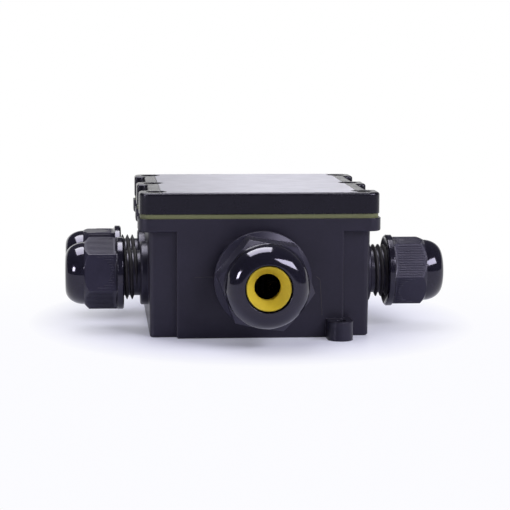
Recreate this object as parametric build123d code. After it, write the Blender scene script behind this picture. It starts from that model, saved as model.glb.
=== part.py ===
from build123d import *
from dataclasses import dataclass
from math import tan, radians
import os

# A waterproof junction box with four cable glands, in millimetres
# X runs to the right, Y into the depth, Z up, from the centre of the case's underside

# Case
BODY_WIDTH = 84.6
CASE_LENGTH = 91.5
CASE_CORNER_RADIUS = 4.5
BODY_CORNER_RADIUS = 2.0
CORNER_RECESS = 3.0
DRAFT_ANGLE = 0.8
PANEL_WIDTH = 63.5
PANEL_CORNER_RADIUS = 0.8
BASE_CHAMFER = 0.5
WALL = 2.8
FLOOR = 2.8
CAVITY_CORNER_RADIUS = 2.0
RIM_TOP = 45.45
RIM_DEPTH = 5.0
EDGE_RADIUS = 0.8

# Ears round the lid screws, three on each long side
EAR_REACH = 3.85
EAR_LENGTH = 13.0
EAR_CORNER_RADIUS = 1.8
EAR_ROOT_RADIUS = 1.2
SCREW_SIDE_INSET = 6.75
SCREW_END_INSET = 7.4
POST_RADIUS = 4.2

# Mounting lugs, front right and back left
LUG_X = 29.8
LUG_WIDTH = 9.6
LUG_REACH = 10.0
LUG_HEIGHT = 7.2
LUG_HOLE_RADIUS = 2.25

# Gasket, lid and label plate
GASKET_THICKNESS = 1.75
GASKET_SETBACK = 0.85
GASKET_INNER_SETBACK = 0.3
LID_SETBACK = 0.5
LID_HEIGHT = 8.0
LID_ROOF = 2.8
LID_EDGE_RADIUS = 1.0
LIP_DEPTH = 4.5
LIP_WALL = 1.6
LIP_CLEARANCE = 0.4
LABEL_SIDE_MARGIN = 8.95
LABEL_END_MARGIN = 2.25
LABEL_THICKNESS = 0.5
LABEL_RECESS = 0.4
LABEL_CORNER_RADIUS = 1.5
LABEL_CLEARANCE = 0.1
LABEL_NOTCH_MARGIN = 0.9

# Lid screws, their sealing washers and threaded inserts
SCREW_RECESS_RADIUS = 3.55
SCREW_RECESS_DEPTH = 4.5
SCREW_RADIUS = 1.5
SCREW_HEAD_RADIUS = 2.9
SCREW_HEAD_HEIGHT = 2.0
SCREW_LENGTH = 12.5
SCREW_HOLE_CLEARANCE = 0.3
SCREW_THREAD_CLEARANCE = 0.08
SCREW_POINT_ROOM = 1.5
HEAD_EDGE_RADIUS = 0.6
WASHER_RADIUS = 3.2
WASHER_THICKNESS = 0.8
WASHER_CLEARANCE = 0.1
INSERT_RADIUS = 2.1
INSERT_LENGTH = 6.0

# Terminal strip on two pillars of the floor, with as many poles as fit between the screw posts
STRIP_CLEARANCE = 3.0
POLE_PITCH = 9.4
TERMINAL_Y = 6.0
TERMINAL_DEPTH = 20.0
TERMINAL_BED = 5.0
TERMINAL_EAR = 7.0
BARRIER_WALL = 1.4
BARRIER_HEIGHT = 8.5
PILLAR_RADIUS = 3.2
PILLAR_HEIGHT = 3.0
SLEEVE_WIDTH = 6.0
SLEEVE_HEIGHT = 6.4
SLEEVE_LENGTH = 17.0
SLEEVE_BORE_RADIUS = 2.0
SLEEVE_SEAT = 1.0
SLEEVE_CLEARANCE = 0.1
CLAMP_SCREW_SPACING = 9.0
CLAMP_SCREW_RADIUS = 1.3
CLAMP_SCREW_HEAD_RADIUS = 2.0
CLAMP_SCREW_HEAD_HEIGHT = 1.4
CLAMP_SCREW_STAND = 1.0
MOUNT_SCREW_RADIUS = 1.4
MOUNT_SCREW_LENGTH = 8.5
MOUNT_SCREW_HEAD_RADIUS = 2.5
MOUNT_SCREW_HEAD_HEIGHT = 1.6
FIT_CLEARANCE = 0.05

# Screw thread that all the glands share
THREAD_PITCH = 2.0
THREAD_DEPTH = 1.6
THREAD_CLEARANCE = 0.2
THREAD_LAND = 2.5
TIGHTEN_TURNS = 1.0

# Clamping cage and seal that all the glands share
CAGE_WALL = 1.2
CAGE_SETBACK = 3.5
CAGE_SLIDE = 0.15
CAGE_SEAT_CLEARANCE = 0.3
CAGE_SLOTS = 10
CAGE_SLOT_WIDTH = 1.0
CAGE_SLOT_SHARE = 0.55
SEAL_CLEARANCE = 0.45
SEAL_FIT = 0.05
SEAL_SETBACK = 1.0
SEAL_EDGE_RADIUS = 0.3
SEAL_LAND = 3.0
SEAL_RELIEF = 1.4
PASSAGE_MARGIN = 2.0

# Nut details that all the glands share
NUT_LIP = 1.2
CONE_SLOPE = 1.5
DISH_DEPTH = 1.5
SKIRT_EDGE = 0.5

# Side gland
SIDE_ACROSS_FLATS = 24.0
SIDE_DOME_LENGTH = 7.2
SIDE_HEX_LENGTH = 12.4
SIDE_SKIRT_LENGTH = 2.9
SIDE_SKIRT_RADIUS = 14.0
SIDE_OPENING_RADIUS = 6.5
SIDE_HOLE_RADIUS = 3.6
SIDE_FUNNEL_DEPTH = 4.2
SIDE_THREAD_RADIUS = 10.3
SIDE_SPIGOT_LENGTH = 17.0
SIDE_CAGE_LENGTH = 13.0
SIDE_BOSS_RADIUS = 12.3
SIDE_BOSS_DEPTH = 2.6
SIDE_STANDOFF = 6.0
SIDE_HEIGHT = 22.05
LEFT_SPACING = 42.0
RIGHT_GLAND_Y = -18.0

# Front gland
FRONT_ACROSS_FLATS = 31.2
FRONT_DOME_LENGTH = 8.0
FRONT_HEX_LENGTH = 16.0
FRONT_SKIRT_LENGTH = 3.5
FRONT_SKIRT_RADIUS = 18.2
FRONT_OPENING_RADIUS = 8.75
FRONT_HOLE_RADIUS = 4.9
FRONT_FUNNEL_DEPTH = 5.3
FRONT_THREAD_RADIUS = 12.75
FRONT_SPIGOT_LENGTH = 20.0
FRONT_CAGE_LENGTH = 15.0
FRONT_BOSS_RADIUS = 15.3
FRONT_BOSS_DEPTH = 2.6
FRONT_STANDOFF = 5.0
FRONT_HEIGHT = 23.6

# How far each nut is turned back from a corner pointing up, in degrees
FRONT_TURN = 20.6
LEFT_FRONT_TURN = 68.0
LEFT_REAR_TURN = 149.0
RIGHT_FRONT_TURN = 95.0

# How near two places count as one
TOUCH = 0.001

CASE_WIDTH = BODY_WIDTH + 2 * EAR_REACH
RIM_BOTTOM = RIM_TOP - RIM_DEPTH
LID_BOTTOM = RIM_TOP + GASKET_THICKNESS
LID_TOP = LID_BOTTOM + LID_HEIGHT
BODY_LENGTH = CASE_LENGTH - 2 * CORNER_RECESS
LABEL_WIDTH = CASE_WIDTH - 2 * LABEL_SIDE_MARGIN
LABEL_LENGTH = CASE_LENGTH - 2 * LABEL_END_MARGIN
SCREW_X = CASE_WIDTH / 2 - SCREW_SIDE_INSET
SCREW_END_Y = CASE_LENGTH / 2 - SCREW_END_INSET
SCREW_YS = (-SCREW_END_Y, 0, SCREW_END_Y)
SCREW_SPOTS = [(side * SCREW_X, y) for side in (-1, 1) for y in SCREW_YS]
RECESS_FLOOR = LID_TOP - SCREW_RECESS_DEPTH
HEAD_SEAT = RECESS_FLOOR + WASHER_THICKNESS
SCREW_HOLE_RADIUS = SCREW_RADIUS + SCREW_HOLE_CLEARANCE
SCREW_POINT = HEAD_SEAT - SCREW_LENGTH
STRIP_ROOM = 2 * (SCREW_X - POST_RADIUS - STRIP_CLEARANCE)
POLES = int((STRIP_ROOM - BARRIER_WALL - 2 * TERMINAL_EAR) // POLE_PITCH)
FULL_TURN = 360.0
QUARTER_TURN = 90.0


@dataclass
class GlandSize:
    """Sizes of one gland; axial places are measured from the case wall, outwards."""
    across_flats: float
    dome_length: float
    hex_length: float
    skirt_length: float
    skirt_radius: float
    opening_radius: float
    hole_radius: float
    funnel_depth: float
    thread_radius: float
    spigot_length: float
    cage_length: float
    boss_radius: float
    boss_depth: float
    standoff: float

    def __post_init__(self):
        self.nut_length = self.dome_length + self.hex_length + self.skirt_length
        self.dome_radius = self.across_flats / 2
        self.root_radius = self.thread_radius - THREAD_DEPTH
        self.nut_bore = self.thread_radius + THREAD_CLEARANCE
        self.seal_radius = self.opening_radius - SEAL_CLEARANCE
        self.cage_inner = self.seal_radius + SEAL_FIT
        self.cage_outer = self.cage_inner + CAGE_WALL
        self.spigot_bore = self.cage_outer + CAGE_SLIDE
        self.passage_radius = self.hole_radius + PASSAGE_MARGIN
        self.spigot_end = self.boss_depth + self.spigot_length
        self.nut_start = self.boss_depth + self.standoff
        self.nut_end = self.nut_start + self.nut_length
        self.cage_end = self.nut_end - CAGE_SETBACK
        self.cage_start = self.cage_end - self.cage_length
        self.cage_seat = self.cage_start - TIGHTEN_TURNS * THREAD_PITCH - CAGE_SEAT_CLEARANCE


@dataclass
class Gland:
    """One gland: its size, the point where its axis meets the case wall, its direction and its turn."""
    name: str
    size: GlandSize
    foot: tuple
    outward: tuple
    turn: float

    def place(self, shape, moves_with_nut=True):
        """Sets a shape modelled along +Z from the wall on this gland's axis."""
        advance = THREAD_PITCH * self.turn / FULL_TURN if moves_with_nut else 0
        axis_plane = Plane(origin=self.foot, x_dir=(0, 0, 1), z_dir=self.outward)
        return axis_plane.location * Pos(0, 0, advance) * shape


SIDE_SIZE = GlandSize(
    SIDE_ACROSS_FLATS, SIDE_DOME_LENGTH, SIDE_HEX_LENGTH, SIDE_SKIRT_LENGTH, SIDE_SKIRT_RADIUS,
    SIDE_OPENING_RADIUS, SIDE_HOLE_RADIUS, SIDE_FUNNEL_DEPTH, SIDE_THREAD_RADIUS, SIDE_SPIGOT_LENGTH,
    SIDE_CAGE_LENGTH, SIDE_BOSS_RADIUS, SIDE_BOSS_DEPTH, SIDE_STANDOFF)
FRONT_SIZE = GlandSize(
    FRONT_ACROSS_FLATS, FRONT_DOME_LENGTH, FRONT_HEX_LENGTH, FRONT_SKIRT_LENGTH, FRONT_SKIRT_RADIUS,
    FRONT_OPENING_RADIUS, FRONT_HOLE_RADIUS, FRONT_FUNNEL_DEPTH, FRONT_THREAD_RADIUS, FRONT_SPIGOT_LENGTH,
    FRONT_CAGE_LENGTH, FRONT_BOSS_RADIUS, FRONT_BOSS_DEPTH, FRONT_STANDOFF)

LEFT_WALL = -BODY_WIDTH / 2
RIGHT_WALL = BODY_WIDTH / 2
NEAR_Y = -LEFT_SPACING / 2
FAR_Y = LEFT_SPACING / 2
GLANDS = (
    Gland("front", FRONT_SIZE, (0, -CASE_LENGTH / 2, FRONT_HEIGHT), (0, -1, 0), FRONT_TURN),
    Gland("left_front", SIDE_SIZE, (LEFT_WALL, NEAR_Y, SIDE_HEIGHT), (-1, 0, 0), LEFT_FRONT_TURN),
    Gland("left_rear", SIDE_SIZE, (LEFT_WALL, FAR_Y, SIDE_HEIGHT), (-1, 0, 0), LEFT_REAR_TURN),
    Gland("right_front", SIDE_SIZE, (RIGHT_WALL, RIGHT_GLAND_Y, SIDE_HEIGHT), (1, 0, 0), RIGHT_FRONT_TURN),
)


def rod(radius, bottom, top):
    """A cylinder along Z between two heights."""
    return Pos(0, 0, bottom) * Cylinder(radius, top - bottom, align=(Align.CENTER, Align.CENTER, Align.MIN))


def block(width, length, bottom, top):
    """A box centred on Z between two heights."""
    centred = (Align.CENTER, Align.CENTER, Align.MIN)
    return Pos(0, 0, bottom) * Box(width, length, top - bottom, align=centred)


def spun(*points):
    """A solid of revolution about Z, from its outline's (radius, height) points."""
    outline = make_face(Polyline(*[(r, 0, z) for r, z in points], close=True))
    return revolve(outline, Axis.Z)


def raised(sketch, bottom, top):
    """A prism over a flat sketch between two heights."""
    return extrude(Pos(0, 0, bottom) * sketch, top - bottom)


def case_outline(inset=0.0):
    """Outline that rim, gasket and lid share: a rectangle with three screw ears on each side."""
    outline = Rectangle(BODY_WIDTH - 2 * inset, CASE_LENGTH - 2 * inset)
    middle_ear = Rectangle(CASE_WIDTH - 2 * inset, EAR_LENGTH - 2 * inset)
    end_ear_length = SCREW_END_INSET + EAR_LENGTH / 2
    end_ear = Rectangle(CASE_WIDTH - 2 * inset, end_ear_length - 2 * inset)
    end_ear_y = CASE_LENGTH / 2 - end_ear_length / 2
    outline = outline + middle_ear + Pos(0, end_ear_y) * end_ear + Pos(0, -end_ear_y) * end_ear
    ear_x = CASE_WIDTH / 2 - inset
    end_y = CASE_LENGTH / 2 - inset
    on_ear = [v for v in outline.vertices() if abs(abs(v.X) - ear_x) < inset + TOUCH]
    corners = [v for v in on_ear if abs(abs(v.Y) - end_y) < TOUCH]
    ear_tips = [v for v in on_ear if abs(abs(v.Y) - end_y) > TOUCH]
    outline = fillet(corners, CASE_CORNER_RADIUS - inset)
    tips_at = [(v.X, v.Y) for v in ear_tips]
    tips = [v for v in outline.vertices() if any(abs(v.X - x) + abs(v.Y - y) < TOUCH for x, y in tips_at)]
    outline = fillet(tips, EAR_CORNER_RADIUS - inset)
    root_x = BODY_WIDTH / 2 - inset
    roots = [v for v in outline.vertices() if abs(abs(v.X) - root_x) < TOUCH]
    return fillet(roots, EAR_ROOT_RADIUS + inset)


def cavity_outline(inset=0.0):
    """Outline of the case's inside: it follows the wall, the end panels and the screw posts."""
    radius = CAVITY_CORNER_RADIUS
    main = RectangleRounded(BODY_WIDTH - 2 * (WALL + inset), BODY_LENGTH - 2 * (WALL + inset), radius)
    bay = RectangleRounded(PANEL_WIDTH - 2 * (WALL + inset), CASE_LENGTH - 2 * (WALL + inset), radius)
    posts = Sketch() + [Pos(x, y) * Circle(POST_RADIUS + inset) for x, y in SCREW_SPOTS]
    return main + bay - posts


def screw_circles(radius):
    """One circle at each lid screw."""
    return Sketch() + [Pos(x, y) * Circle(radius) for x, y in SCREW_SPOTS]


def make_case_block():
    """The case's outside: drafted body, end panels and the rim with its ears."""
    shrink = 2 * RIM_BOTTOM * tan(radians(DRAFT_ANGLE))
    foot = RectangleRounded(BODY_WIDTH - shrink, BODY_LENGTH - shrink, BODY_CORNER_RADIUS)
    body = extrude(foot, RIM_BOTTOM, taper=-DRAFT_ANGLE)
    body = chamfer(body.faces().sort_by(Axis.Z)[0].edges(), BASE_CHAMFER)
    panels = raised(RectangleRounded(PANEL_WIDTH, CASE_LENGTH, PANEL_CORNER_RADIUS), 0, RIM_TOP)
    panels = chamfer(panels.faces().sort_by(Axis.Z)[0].edges(), BASE_CHAMFER)
    rim = raised(case_outline(), RIM_BOTTOM, RIM_TOP)
    rim = fillet(rim.faces().sort_by(Axis.Z)[0].edges(), EDGE_RADIUS)
    between_ears = raised(RectangleRounded(BODY_WIDTH, BODY_LENGTH, BODY_CORNER_RADIUS), RIM_BOTTOM, RIM_TOP)
    return body + panels + rim + between_ears


def make_lug():
    """The mounting lug at the front right, with a round end and an upright hole."""
    wall_y = -BODY_LENGTH / 2 + WALL / 2
    hole_y = -CASE_LENGTH / 2 - LUG_REACH + LUG_WIDTH / 2
    arm = Pos(0, (wall_y + hole_y) / 2) * block(LUG_WIDTH, wall_y - hole_y, 0, LUG_HEIGHT)
    end = Pos(0, hole_y) * rod(LUG_WIDTH / 2, 0, LUG_HEIGHT)
    hole = Pos(0, hole_y) * rod(LUG_HOLE_RADIUS, 0, LUG_HEIGHT)
    return Pos(LUG_X, 0) * (arm + end - hole)


def make_spigot(size):
    """Boss and threaded spigot, at the thread's root, with a full-size land at the mouth."""
    boss = rod(size.boss_radius, -WALL, size.boss_depth)
    boss = chamfer(boss.faces().sort_by(Axis.Z)[-1].edges(), BASE_CHAMFER)
    stem = rod(size.root_radius, -WALL, size.spigot_end)
    land = rod(size.thread_radius, size.spigot_end - THREAD_LAND, size.spigot_end)
    land = chamfer(land.edges().filter_by(GeomType.CIRCLE), BASE_CHAMFER)
    return boss + stem + land


def make_spigot_bore(size):
    """Space inside a spigot: a wide seat for the cage and a narrower way into the case."""
    seat = rod(size.spigot_bore, size.cage_seat, size.spigot_end)
    passage = rod(size.passage_radius, -WALL - CORNER_RECESS, size.cage_seat)
    return seat + passage


def terminal_length():
    """Length of the terminal strip's moulding, with an ear at each end."""
    return POLES * POLE_PITCH + BARRIER_WALL + 2 * TERMINAL_EAR


def pole_xs():
    """Centre of each terminal along X."""
    return [(i - (POLES - 1) / 2) * POLE_PITCH for i in range(POLES)]


def mount_screw_xs():
    """Centres of the strip's two fixing screws along X."""
    x = (terminal_length() - TERMINAL_EAR) / 2
    return (-x, x)


def make_housing():
    """The case: one moulding with rim, end panels, screw posts, lugs and four spigots."""
    housing = make_case_block() + make_lug() + Rot(0, 0, FULL_TURN / 2) * make_lug()
    for gland in GLANDS:
        housing += gland.place(make_spigot(gland.size), moves_with_nut=False)
    housing -= raised(cavity_outline(), FLOOR, RIM_TOP)
    for gland in GLANDS:
        housing -= gland.place(make_spigot_bore(gland.size), moves_with_nut=False)
    for x, y in SCREW_SPOTS:
        housing -= Pos(x, y) * rod(INSERT_RADIUS, RIM_TOP - INSERT_LENGTH, RIM_TOP)
        housing -= Pos(x, y) * rod(SCREW_HOLE_RADIUS, SCREW_POINT - SCREW_POINT_ROOM, RIM_TOP)
    for x in mount_screw_xs():
        housing += Pos(x, TERMINAL_Y) * rod(PILLAR_RADIUS, FLOOR, FLOOR + PILLAR_HEIGHT)
        pilot_bottom = FLOOR + PILLAR_HEIGHT + TERMINAL_BED - MOUNT_SCREW_LENGTH
        pilot = rod(MOUNT_SCREW_RADIUS + FIT_CLEARANCE, pilot_bottom, FLOOR + PILLAR_HEIGHT)
        housing -= Pos(x, TERMINAL_Y) * pilot
    return housing


def make_gasket():
    """Flat sealing frame that shows as a band all round, with a hole at each screw."""
    frame = case_outline(GASKET_SETBACK) - cavity_outline(-GASKET_INNER_SETBACK)
    frame -= screw_circles(SCREW_HOLE_RADIUS)
    return raised(frame, RIM_TOP, LID_BOTTOM)


def label_outline(clearance=0.0):
    """The label plate's outline, notched round the screw recesses."""
    width = LABEL_WIDTH + 2 * clearance
    length = LABEL_LENGTH + 2 * clearance
    plate = RectangleRounded(width, length, LABEL_CORNER_RADIUS + clearance)
    return plate - screw_circles(SCREW_RECESS_RADIUS + LABEL_NOTCH_MARGIN - clearance)


def make_lid():
    """The lid: a shallow moulded tray with a locating lip, six screw recesses and a bed for the label."""
    lid = raised(case_outline(LID_SETBACK), LID_BOTTOM, LID_TOP)
    lid = fillet(lid.faces().sort_by(Axis.Z)[-1].edges(), LID_EDGE_RADIUS)
    lid += raised(cavity_outline(LIP_CLEARANCE), LID_BOTTOM - LIP_DEPTH, LID_BOTTOM)
    lid -= raised(cavity_outline(LIP_CLEARANCE + LIP_WALL), LID_BOTTOM - LIP_DEPTH, LID_TOP - LID_ROOF)
    lid -= raised(label_outline(LABEL_CLEARANCE), LID_TOP - LABEL_RECESS, LID_TOP)
    for x, y in SCREW_SPOTS:
        lid -= Pos(x, y) * rod(SCREW_RECESS_RADIUS, RECESS_FLOOR, LID_TOP)
        lid -= Pos(x, y) * rod(SCREW_HOLE_RADIUS, LID_BOTTOM, RECESS_FLOOR)
    return lid


def make_label_plate():
    """Thin bare metal plate in the lid's bed."""
    bottom = LID_TOP - LABEL_RECESS
    return raised(label_outline(), bottom, bottom + LABEL_THICKNESS)


def pan_screw(radius, length, head_radius, head_height):
    """A screw whose head stands on Z = 0 and whose shank points down."""
    head = rod(head_radius, 0, head_height)
    head = fillet(head.faces().sort_by(Axis.Z)[-1].edges(), min(HEAD_EDGE_RADIUS, head_height / 2))
    shank = rod(radius, -length, 0)
    return head + shank


def at_spots(shape, spots, height=0.0):
    """A group of like solids, one at each (x, y) spot."""
    return Compound(children=[Pos(x, y, height) * shape for x, y in spots])


def make_lid_screws():
    """Six captive screws deep in the lid's recesses."""
    screw = pan_screw(SCREW_RADIUS, SCREW_LENGTH, SCREW_HEAD_RADIUS, SCREW_HEAD_HEIGHT)
    return at_spots(screw, SCREW_SPOTS, HEAD_SEAT)


def make_screw_washers():
    """Six soft washers that seal the screw heads."""
    washer = rod(WASHER_RADIUS, 0, WASHER_THICKNESS)
    washer -= rod(SCREW_RADIUS + WASHER_CLEARANCE, 0, WASHER_THICKNESS)
    return at_spots(washer, SCREW_SPOTS, RECESS_FLOOR)


def make_screw_inserts():
    """Six threaded brass bushes in the case's posts."""
    bush = rod(INSERT_RADIUS, 0, INSERT_LENGTH) - rod(SCREW_RADIUS + SCREW_THREAD_CLEARANCE, 0, INSERT_LENGTH)
    return at_spots(bush, SCREW_SPOTS, RIM_TOP - INSERT_LENGTH)


def make_terminal_base():
    """Insulating bed of the terminal strip, with a barrier on each side of every pole."""
    bottom = FLOOR + PILLAR_HEIGHT
    bed_top = bottom + TERMINAL_BED
    bed = block(terminal_length(), TERMINAL_DEPTH, bottom, bed_top)
    bed = fillet(bed.edges().filter_by(Axis.Z), CAVITY_CORNER_RADIUS)
    for i in range(POLES + 1):
        x = (i - POLES / 2) * POLE_PITCH
        bed += Pos(x, 0) * block(BARRIER_WALL, TERMINAL_DEPTH, bed_top, bed_top + BARRIER_HEIGHT)
    for x in pole_xs():
        width = SLEEVE_WIDTH + 2 * SLEEVE_CLEARANCE
        length = SLEEVE_LENGTH + 2 * SLEEVE_CLEARANCE
        bed -= Pos(x, 0) * block(width, length, bed_top - SLEEVE_SEAT, bed_top)
    for x in mount_screw_xs():
        bed -= Pos(x, 0) * rod(MOUNT_SCREW_RADIUS + SCREW_HOLE_CLEARANCE, bottom, bed_top)
    return Pos(0, TERMINAL_Y) * bed


def sleeve_bottom():
    """Height at which the terminals' metal sleeves sit."""
    return FLOOR + PILLAR_HEIGHT + TERMINAL_BED - SLEEVE_SEAT


def clamp_screw_spots():
    """Centres of the wire clamping screws, two on each pole."""
    ys = (TERMINAL_Y - CLAMP_SCREW_SPACING / 2, TERMINAL_Y + CLAMP_SCREW_SPACING / 2)
    return [(x, y) for x in pole_xs() for y in ys]


def make_terminal_sleeves():
    """Brass sleeves with a wire way along Y and two tapped holes each."""
    sleeve = block(SLEEVE_WIDTH, SLEEVE_LENGTH, 0, SLEEVE_HEIGHT)
    wire_way = Rot(QUARTER_TURN, 0, 0) * Cylinder(SLEEVE_BORE_RADIUS, SLEEVE_LENGTH)
    sleeve -= Pos(0, 0, SLEEVE_HEIGHT / 2) * wire_way
    for side in (-1, 1):
        tapped = rod(CLAMP_SCREW_RADIUS + FIT_CLEARANCE, SLEEVE_HEIGHT / 2, SLEEVE_HEIGHT)
        sleeve -= Pos(0, side * CLAMP_SCREW_SPACING / 2) * tapped
    return at_spots(sleeve, [(x, TERMINAL_Y) for x in pole_xs()], sleeve_bottom())


def make_terminal_screws():
    """Wire clamping screws, backed off so that their heads stand above the sleeves."""
    length = SLEEVE_HEIGHT / 2 - SLEEVE_BORE_RADIUS + CLAMP_SCREW_STAND
    screw = pan_screw(CLAMP_SCREW_RADIUS, length, CLAMP_SCREW_HEAD_RADIUS, CLAMP_SCREW_HEAD_HEIGHT)
    head_seat = sleeve_bottom() + SLEEVE_HEIGHT + CLAMP_SCREW_STAND
    return at_spots(screw, clamp_screw_spots(), head_seat)


def make_terminal_mount_screws():
    """Two screws that hold the terminal strip to the floor's pillars."""
    head_radius = MOUNT_SCREW_HEAD_RADIUS
    screw = pan_screw(MOUNT_SCREW_RADIUS, MOUNT_SCREW_LENGTH, head_radius, MOUNT_SCREW_HEAD_HEIGHT)
    spots = [(x, TERMINAL_Y) for x in mount_screw_xs()]
    return at_spots(screw, spots, FLOOR + PILLAR_HEIGHT + TERMINAL_BED)


def make_nut(size, turn):
    """Domed hexagon nut: skirt at the case side, chamfered hexagon, rounded dome, conical inside."""
    start = size.nut_start
    hex_start = start + size.skirt_length
    hex_end = hex_start + size.hex_length
    end = size.nut_end
    flats = RegularPolygon(size.across_flats / 2, 6, major_radius=False, rotation=turn)
    corner_radius = size.across_flats / 3 ** 0.5
    chamfer_reach = corner_radius - size.dome_radius
    trimmer = spun(
        (0, start), (corner_radius, start), (corner_radius, hex_end - chamfer_reach),
        (size.dome_radius, hex_end), (0, hex_end))
    body = raised(flats, hex_start - SKIRT_EDGE, hex_end) & trimmer
    skirt_outer = size.skirt_radius
    hex_side = hex_start + SKIRT_EDGE
    body += spun(
        (0, start), (skirt_outer - SKIRT_EDGE, start), (skirt_outer, start + SKIRT_EDGE),
        (skirt_outer, hex_start - SKIRT_EDGE), (size.dome_radius, hex_side), (0, hex_side))
    dome_reach = size.dome_radius - size.opening_radius
    dome_curve = EllipticalCenterArc(
        (size.opening_radius, hex_end), dome_reach, size.dome_length, start_angle=0, arc_size=QUARTER_TURN)
    dome_sides = Polyline((size.opening_radius, end), (0, end), (0, hex_end), (size.dome_radius, hex_end))
    body += revolve(Rot(QUARTER_TURN, 0, 0) * make_face(dome_curve + dome_sides), Axis.Z)
    cone_end = end - NUT_LIP - CONE_SLOPE * (size.nut_bore - size.opening_radius)
    dish_radius = size.skirt_radius - 2 * SKIRT_EDGE
    body -= spun(
        (0, start), (dish_radius, start), (size.nut_bore, start + DISH_DEPTH), (size.nut_bore, cone_end),
        (size.opening_radius, end - NUT_LIP), (size.opening_radius, end), (0, end))
    return body


def make_cage(size):
    """Clamping cage: a sleeve that slides in the spigot, slotted into fingers at its outer end."""
    cage = rod(size.cage_outer, size.cage_start, size.cage_end)
    cage = chamfer(cage.faces().sort_by(Axis.Z)[-1].edges(), CAGE_WALL / 2)
    cage -= rod(size.cage_inner, size.cage_start, size.cage_end)
    slot_bottom = size.cage_end - CAGE_SLOT_SHARE * size.cage_length
    slot = Pos(size.cage_outer, 0) * block(2 * size.cage_outer, CAGE_SLOT_WIDTH, slot_bottom, size.cage_end)
    for i in range(CAGE_SLOTS):
        cage -= Rot(0, 0, i * FULL_TURN / CAGE_SLOTS) * slot
    return cage


def make_seal(size):
    """Rubber seal with a funnel mouth, a round gripping land and a wider bore behind it."""
    outer_end = size.nut_end - SEAL_SETBACK
    throat = outer_end - size.funnel_depth
    land_start = throat - SEAL_LAND
    mouth_radius = size.seal_radius - SEAL_EDGE_RADIUS
    relief_radius = size.hole_radius + SEAL_RELIEF
    return spun(
        (relief_radius, size.cage_start), (size.seal_radius, size.cage_start),
        (size.seal_radius, outer_end - SEAL_EDGE_RADIUS), (mouth_radius, outer_end), (size.hole_radius, throat),
        (size.hole_radius, land_start), (relief_radius, land_start - SEAL_RELIEF))


def build():
    """Every sub-part by the name of its node."""
    parts = {
        "housing": make_housing(),
        "gasket": make_gasket(),
        "lid": make_lid(),
        "label_plate": make_label_plate(),
        "lid_screws": make_lid_screws(),
        "screw_washers": make_screw_washers(),
        "screw_inserts": make_screw_inserts(),
        "terminal_base": make_terminal_base(),
        "terminal_sleeves": make_terminal_sleeves(),
        "terminal_screws": make_terminal_screws(),
        "terminal_mount_screws": make_terminal_mount_screws(),
    }
    for gland in GLANDS:
        parts[f"{gland.name}_nut"] = gland.place(make_nut(gland.size, gland.turn))
        parts[f"{gland.name}_cage"] = gland.place(make_cage(gland.size))
        parts[f"{gland.name}_seal"] = gland.place(make_seal(gland.size))
    return parts


os.makedirs("parts", exist_ok=True)
for node, shape in build().items():
    shape.label = node
    export_step(shape, f"parts/{node}.step")
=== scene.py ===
import math

import bmesh
import bpy
import numpy as np
from bpy.props import FloatProperty, FloatVectorProperty, IntProperty, PointerProperty
from bpy.types import Operator, Panel, PropertyGroup
from mathutils import Matrix


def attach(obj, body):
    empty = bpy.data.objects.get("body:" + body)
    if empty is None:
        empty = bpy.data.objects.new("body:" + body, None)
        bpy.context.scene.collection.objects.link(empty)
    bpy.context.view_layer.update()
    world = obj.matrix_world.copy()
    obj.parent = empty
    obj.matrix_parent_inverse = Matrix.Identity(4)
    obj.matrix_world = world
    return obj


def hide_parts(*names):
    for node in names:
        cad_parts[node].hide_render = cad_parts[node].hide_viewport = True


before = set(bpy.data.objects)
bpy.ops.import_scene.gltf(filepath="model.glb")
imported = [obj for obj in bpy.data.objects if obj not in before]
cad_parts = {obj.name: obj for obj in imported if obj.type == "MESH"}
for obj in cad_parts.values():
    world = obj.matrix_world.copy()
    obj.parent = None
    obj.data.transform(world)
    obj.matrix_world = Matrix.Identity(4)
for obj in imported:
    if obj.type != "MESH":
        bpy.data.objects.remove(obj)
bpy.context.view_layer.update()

bl_info = {
    "name": "Waterproof junction box",
    "version": (1, 0, 0),
    "blender": (4, 5, 0),
    "location": "View3D > Sidebar > Junction box",
    "description": "Finishes, threads, ribs and screws of a sealed junction box, and its studio",
    "category": "Object",
}

MM = 0.001
FULL_TURN = 2 * math.pi
IMAGE_SIDE = 510
WHITE = (1.0, 1.0, 1.0)

# Glands: foot of the axis on the case wall (mm), outward direction, nut's turn (degrees) and size
GLANDS = {
    "front": {"foot": (0.0, -45.75, 23.6), "outward": (0, -1, 0), "turn": 20.6, "size": "front"},
    "left_front": {"foot": (-42.3, -21.0, 22.05), "outward": (-1, 0, 0), "turn": 68.0, "size": "side"},
    "left_rear": {"foot": (-42.3, 21.0, 22.05), "outward": (-1, 0, 0), "turn": 149.0, "size": "side"},
    "right_front": {"foot": (42.3, -18.0, 22.05), "outward": (1, 0, 0), "turn": 95.0, "size": "side"},
}

# Gland sizes in mm, measured along the axis from the case wall
GLAND_SIZES = {
    "front": {"boss": 2.6, "spigot_end": 22.6, "root": 11.15, "crest": 12.75, "flats": 31.2,
              "hex_start": 11.1, "hex_end": 27.1},
    "side": {"boss": 2.6, "spigot_end": 19.6, "root": 8.7, "crest": 10.3, "flats": 24.0,
             "hex_start": 11.5, "hex_end": 23.9},
}
THREAD_PITCH = 2.0
THREAD_LAND = 2.5
LAND_OVERLAP = 0.6

# Grip ribs in mm: bare length at the skirt and at the dome, the pad's reach past the hexagon, the
# shortest rib and how deep the ribs' feet sit in the face
RIB_SKIRT_GAP = 0.9
RIB_DOME_GAP = 0.55
PAD_PAST_HEX = 1.6
SHORTEST_RIB = 1.0
RIB_FOOT = 0.01

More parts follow.
